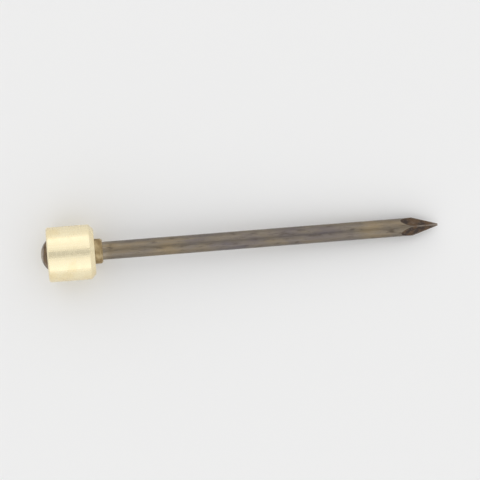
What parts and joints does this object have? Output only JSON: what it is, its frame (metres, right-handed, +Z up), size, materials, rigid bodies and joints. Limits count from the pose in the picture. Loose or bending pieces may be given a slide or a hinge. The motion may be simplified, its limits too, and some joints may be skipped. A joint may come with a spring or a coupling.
{
  "type": "picture hanging nail",
  "caption": "Picture hanging nail: a turned brass head with a collar, riveted onto a slim blued steel pin with a faceted point, driven into a wall to hold a hanger.",
  "frame": {"origin": "middle of the lying nail's box, on the floor it lies on", "axes": "+X along the lying nail from the head towards the tip, +Z up from the floor; the nail's own axis lies in the XZ plane and slopes down about 3 degrees towards the tip, because the head is thicker than the pin"},
  "size_m": [0.0254, 0.0036, 0.0036],
  "materials": {
    "polished_brass": "bright turned rod, with fine lines along the barrel and lathe rings on its ends",
    "blued_steel": "hardened and blued, dark warm grey with a violet tint, brown at the point and the dome"
  },
  "bodies": {
    "root": {"brass_head": "polished_brass", "steel_pin": "blued_steel"}
  },
  "joints": []
}
